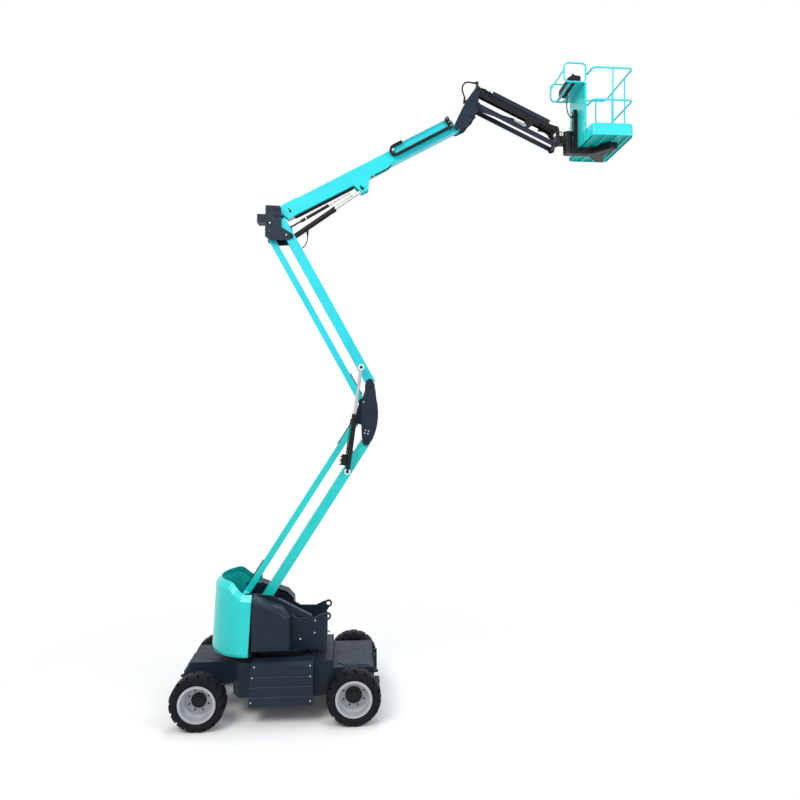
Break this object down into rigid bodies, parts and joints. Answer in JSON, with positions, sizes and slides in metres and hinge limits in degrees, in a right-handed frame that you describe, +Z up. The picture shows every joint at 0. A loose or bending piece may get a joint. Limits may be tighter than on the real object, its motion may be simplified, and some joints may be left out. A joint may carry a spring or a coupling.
{
  "type": "articulating boom lift",
  "caption": "Self-propelled articulating boom lift with a folding riser, telescopic boom, jib and work platform on a slewing wheeled chassis.",
  "frame": {"origin": "centre of the machine's box on the ground, in the raised pose", "axes": "+X from the tail to the platform, +Y to the far side, +Z up"},
  "size_m": [7.5202, 2.04, 10.8423],
  "materials": {
    "teal_paint": "glossy enamel",
    "navy_paint": "satin enamel",
    "black_paint": "satin enamel",
    "chrome_rod": "polished",
    "bare_steel": "ground",
    "tyre_rubber": "matt",
    "rim_silver": "silver enamel",
    "cast_block": "rough painted casting",
    "hose_rubber": "matt",
    "black_plastic": "moulded"
  },
  "bodies": {
    "chassis": {"chassis_frame": "navy_paint", "side_boxes": "navy_paint", "deck_cover": "navy_paint", "steer_cover": "navy_paint", "slew_ring": "black_paint", "steer_axle": "black_paint", "drive_axle": "black_paint"},
    "steer_hub_near": {"steer_knuckle_near": "black_paint"},
    "steer_hub_far": {"steer_knuckle_far": "black_paint"},
    "tie_bar": {"tie_rod": "bare_steel"},
    "wheel_steer_near": {"tyre_steer_near": "tyre_rubber", "rim_steer_near": "rim_silver"},
    "wheel_steer_far": {"tyre_steer_far": "tyre_rubber", "rim_steer_far": "rim_silver"},
    "wheel_drive_near": {"tyre_drive_near": "tyre_rubber", "rim_drive_near": "rim_silver"},
    "wheel_drive_far": {"tyre_drive_far": "tyre_rubber", "rim_drive_far": "rim_silver"},
    "turntable": {"turntable_base": "navy_paint", "mast_plates": "navy_paint", "hood": "teal_paint", "counterweight": "cast_block", "side_covers": "navy_paint"},
    "lower_arm": {"lower_arm": "teal_paint"},
    "lower_link": {"lower_link": "teal_paint"},
    "knuckle": {"knuckle": "navy_paint"},
    "upper_arm": {"upper_arm": "teal_paint"},
    "upper_link": {"upper_link": "teal_paint"},
    "tower_head": {"tower_head": "navy_paint"},
    "riser_barrels": {"riser_barrels": "black_paint"},
    "riser_rods": {"riser_rods": "chrome_rod"},
    "boom": {"boom": "teal_paint"},
    "lift_barrel": {"lift_barrel": "black_paint", "hose_lift": "hose_rubber"},
    "lift_rod": {"lift_rod": "chrome_rod"},
    "level_barrel": {"level_barrel": "black_paint"},
    "level_rod": {"level_rod": "chrome_rod"},
    "fly_boom": {"fly_boom": "teal_paint", "cable_track": "black_plastic", "track_tube": "bare_steel"},
    "jib_base": {"jib_base": "navy_paint", "hose_jib": "hose_rubber"},
    "jib_arm": {"jib_arm": "black_paint", "jib_cover": "navy_paint"},
    "jib_links": {"jib_links": "navy_paint"},
    "jib_barrel": {"jib_barrel": "black_paint"},
    "jib_rod": {"jib_rod": "chrome_rod"},
    "jib_end": {"jib_end": "black_paint"},
    "platform": {"platform_post": "black_paint", "platform_floor": "teal_paint", "toe_board": "teal_paint", "platform_rails": "teal_paint", "platform_panel": "teal_paint", "console_guard": "teal_paint", "console": "black_plastic", "console_cable": "hose_rubber"},
    "gate": {"gate": "teal_paint"}
  },
  "joints": [
    {"name": "steer_near", "type": "hinge", "parent": "chassis", "child": "steer_hub_near", "pos_m": [-3.3326, -0.6, 0.4275], "axis": [0, 0, 1], "range_deg": [-35, 35]},
    {"name": "steer_far", "type": "hinge", "parent": "chassis", "child": "steer_hub_far", "pos_m": [-3.3326, 0.6, 0.4275], "axis": [0, 0, 1], "range_deg": [-35, 35]},
    {"name": "tie_rod_pivot", "type": "hinge", "parent": "steer_hub_near", "child": "tie_bar", "pos_m": [-3.1426, -0.6, 0.3275], "axis": [0, 0, 1], "range_deg": [-35, 35]},
    {"name": "roll_steer_near", "type": "hinge", "parent": "steer_hub_near", "child": "wheel_steer_near", "pos_m": [-3.3326, -0.87, 0.4275], "axis": [0, 1, 0], "continuous": true},
    {"name": "roll_steer_far", "type": "hinge", "parent": "steer_hub_far", "child": "wheel_steer_far", "pos_m": [-3.3326, 0.87, 0.4275], "axis": [0, 1, 0], "continuous": true},
    {"name": "roll_drive_near", "type": "hinge", "parent": "chassis", "child": "wheel_drive_near", "pos_m": [-0.9326, -0.87, 0.4275], "axis": [0, 1, 0], "continuous": true},
    {"name": "roll_drive_far", "type": "hinge", "parent": "chassis", "child": "wheel_drive_far", "pos_m": [-0.9326, 0.87, 0.4275], "axis": [0, 1, 0], "continuous": true},
    {"name": "slew", "type": "hinge", "parent": "chassis", "child": "turntable", "pos_m": [-2.1326, 0, 1], "axis": [0, 0, 1], "range_deg": [-177.5, 177.5]},
    {"name": "riser_lift", "type": "hinge", "parent": "turntable", "child": "lower_arm", "pos_m": [-2.5696, 0, 1.501], "axis": [0, -1, 0], "range_deg": [-60, 8]},
    {"name": "lower_link_pivot", "type": "hinge", "parent": "turntable", "child": "lower_link", "pos_m": [-2.7196, 0, 1.858], "axis": [0, -1, 0], "range_deg": [-60.5, 8.5]},
    {"name": "knuckle_pivot", "type": "hinge", "parent": "lower_arm", "child": "knuckle", "pos_m": [-0.71892, 0, 4.39482], "axis": [0, -1, 0], "range_deg": [-8.5, 60.5]},
    {"name": "upper_arm_pivot", "type": "hinge", "parent": "knuckle", "child": "upper_arm", "pos_m": [-0.63892, 0, 5.33682], "axis": [0, 1, 0], "range_deg": [-57.5, 8.1]},
    {"name": "upper_link_pivot", "type": "hinge", "parent": "knuckle", "child": "upper_link", "pos_m": [-0.78892, 0, 5.06282], "axis": [0, 1, 0], "range_deg": [-57.5, 8.1]},
    {"name": "head_pivot", "type": "hinge", "parent": "upper_arm", "child": "tower_head", "pos_m": [-2.20777, 0, 8.16709], "axis": [0, 1, 0], "range_deg": [-8.1, 57.5]},
    {"name": "riser_barrel_pivot", "type": "hinge", "parent": "lower_arm", "child": "riser_barrels", "pos_m": [-1.0341, 0, 3.90199], "axis": [0, -1, 0], "range_deg": [-7.03, 49.45]},
    {"name": "riser_rod_slide", "type": "slide", "parent": "riser_barrels", "child": "riser_rods", "axis": [0.1301, 0, 0.9915], "range_m": [-0.7171, 0.0973]},
    {"name": "boom_luff", "type": "hinge", "parent": "tower_head", "child": "boom", "pos_m": [-2.21277, 0, 8.27809], "axis": [0, -1, 0], "range_deg": [-26.5, 41.5]},
    {"name": "lift_barrel_pivot", "type": "hinge", "parent": "tower_head", "child": "lift_barrel", "pos_m": [-1.98277, 0, 7.83309], "axis": [0, -1, 0], "range_deg": [-24.84, 38.61]},
    {"name": "lift_rod_slide", "type": "slide", "parent": "lift_barrel", "child": "lift_rod", "axis": [0.8146, 0, 0.58], "range_m": [-0.2187, 0.3414]},
    {"name": "level_barrel_pivot", "type": "hinge", "parent": "tower_head", "child": "level_barrel", "pos_m": [-2.00277, 0, 8.00309], "axis": [0, -1, 0], "range_deg": [-26.78, 41.66]},
    {"name": "level_rod_slide", "type": "slide", "parent": "level_barrel", "child": "level_rod", "axis": [0.8567, 0, 0.5159], "range_m": [-0.1515, 0.2362]},
    {"name": "telescope", "type": "slide", "parent": "boom", "child": "fly_boom", "axis": [0.8788, 0, 0.4772], "range_m": [-1.1, 0.4]},
    {"name": "jib_level", "type": "hinge", "parent": "fly_boom", "child": "jib_base", "pos_m": [0.85138, 0, 9.79159], "axis": [0, -1, 0], "range_deg": [-42, 27]},
    {"name": "jib_luff", "type": "hinge", "parent": "jib_base", "child": "jib_arm", "pos_m": [1.19738, 0, 10.4296], "axis": [0, 1, 0], "range_deg": [-95, 35]},
    {"name": "jib_link_pivot", "type": "hinge", "parent": "jib_base", "child": "jib_links", "pos_m": [1.19738, 0, 10.1636], "axis": [0, 1, 0], "range_deg": [-95.5, 35.5]},
    {"name": "jib_end_pivot", "type": "hinge", "parent": "jib_arm", "child": "jib_end", "pos_m": [2.56409, 0, 9.79228], "axis": [0, 1, 0], "range_deg": [-35.5, 95.5]},
    {"name": "jib_barrel_pivot", "type": "hinge", "parent": "jib_base", "child": "jib_barrel", "pos_m": [1.19738, 0, 10.1636], "axis": [0, 1, 0], "range_deg": [-90.99, 33.84]},
    {"name": "jib_rod_slide", "type": "slide", "parent": "jib_barrel", "child": "jib_rod", "axis": [0.9606, 0, -0.2781], "range_m": [-0.1377, 0.3703]},
    {"name": "platform_turn", "type": "hinge", "parent": "jib_end", "child": "platform", "pos_m": [2.82209, 0, 9.79228], "axis": [0, 0, 1], "range_deg": [-80, 80]},
    {"name": "gate_lift", "type": "slide", "parent": "platform", "child": "gate", "axis": [0, 0, 1], "range_m": [0, 0.4]}
  ],
  "couplings": [
    {"joint": "steer_far", "follows": "steer_near", "ratio": 1},
    {"joint": "tie_rod_pivot", "follows": "steer_near", "ratio": -1},
    {"joint": "lower_link_pivot", "follows": "riser_lift", "ratio": 1},
    {"joint": "knuckle_pivot", "follows": "riser_lift", "ratio": -1},
    {"joint": "upper_arm_pivot", "follows": "riser_lift", "ratio": 0.95},
    {"joint": "upper_link_pivot", "follows": "riser_lift", "ratio": 0.95},
    {"joint": "head_pivot", "follows": "riser_lift", "ratio": -0.95},
    {"joint": "riser_barrel_pivot", "follows": "riser_lift", "ratio": -0.81591},
    {"joint": "riser_rod_slide", "follows": "riser_lift", "m_per_rad": 0.68287},
    {"joint": "lift_barrel_pivot", "follows": "boom_luff", "ratio": 0.91838},
    {"joint": "lift_rod_slide", "follows": "boom_luff", "m_per_rad": 0.46857},
    {"joint": "level_barrel_pivot", "follows": "boom_luff", "ratio": 0.99179},
    {"joint": "level_rod_slide", "follows": "boom_luff", "m_per_rad": 0.32331},
    {"joint": "jib_level", "follows": "boom_luff", "ratio": -1},
    {"joint": "jib_link_pivot", "follows": "jib_luff", "ratio": 1},
    {"joint": "jib_end_pivot", "follows": "jib_luff", "ratio": -1},
    {"joint": "jib_barrel_pivot", "follows": "jib_luff", "ratio": 0.95256},
    {"joint": "jib_rod_slide", "follows": "jib_luff", "m_per_rad": -0.22214}
  ]
}
